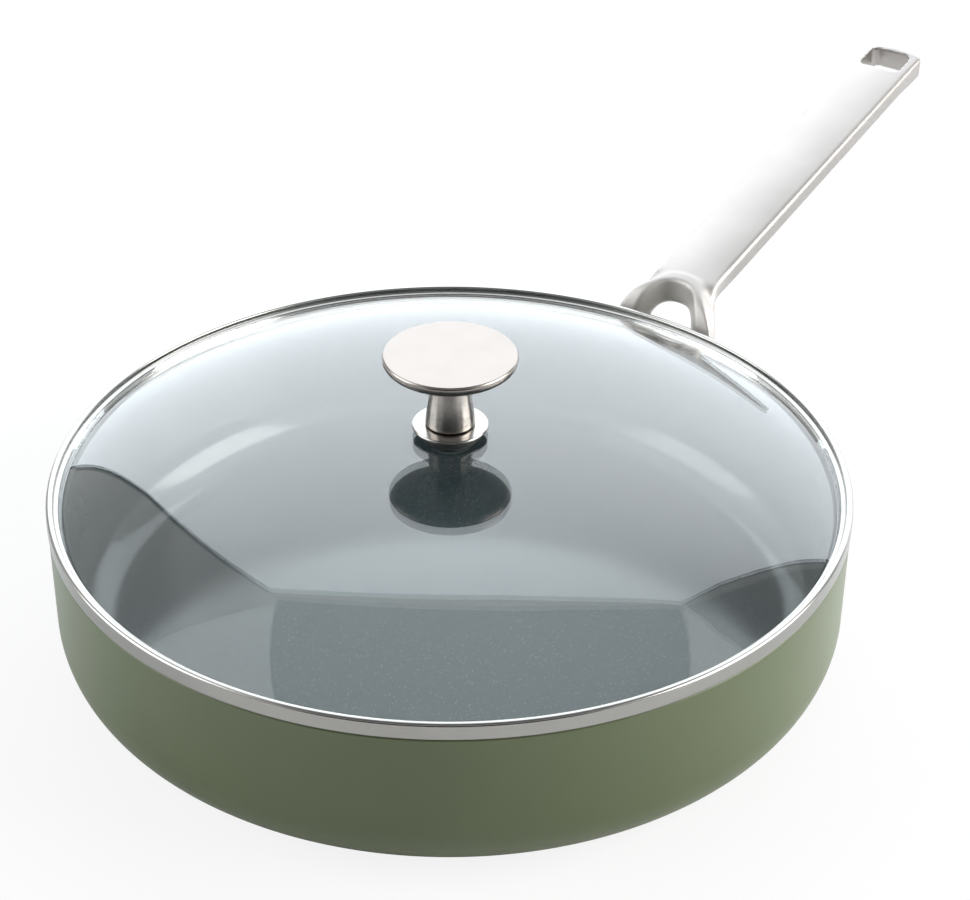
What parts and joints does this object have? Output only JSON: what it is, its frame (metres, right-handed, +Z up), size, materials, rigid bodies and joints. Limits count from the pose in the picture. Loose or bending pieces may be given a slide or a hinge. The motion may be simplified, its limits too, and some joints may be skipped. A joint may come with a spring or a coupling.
{
  "type": "saute pan with lid",
  "caption": "Round straight-sided saute pan with a long forked steel handle and a lift-off domed glass lid with a steel rim band and mushroom knob.",
  "frame": {"origin": "middle of the flat underside of the pan", "axes": "+Z up, +X along the handle towards its tip"},
  "size_m": [0.481, 0.287, 0.1177],
  "materials": {
    "green_enamel": "satin sage green enamel on aluminium",
    "grey_ceramic": "satin blue-grey ceramic non-stick with fine light specks",
    "base_steel": "circularly brushed",
    "handle_steel": "fine satin, brushed along the grip",
    "rivet_steel": "satin",
    "lid_glass": "clear, faint green-grey at the edge",
    "band_steel": "satin, brushed around the rim",
    "dark_silicone": "matt",
    "knob_steel": "satin, turned",
    "fixing_steel": "zinc plated"
  },
  "bodies": {
    "pan": {"pan_body": "green_enamel", "ceramic_lining": "grey_ceramic", "induction_base_plate": "base_steel", "handle": "handle_steel", "handle_rivet_left": "rivet_steel", "handle_rivet_right": "rivet_steel"},
    "lid": {"lid_glass": "lid_glass", "lid_rim_band": "band_steel", "knob_gasket": "dark_silicone", "knob_base_flange": "knob_steel", "knob_stem": "knob_steel", "knob_disc": "knob_steel", "knob_seal_washer": "dark_silicone", "knob_steel_washer": "fixing_steel", "knob_screw": "fixing_steel"}
  },
  "joints": [
    {"name": "lid_lift", "type": "slide", "parent": "pan", "child": "lid", "axis": [0, 0, 1], "range_m": [0, 0.12]}
  ]
}
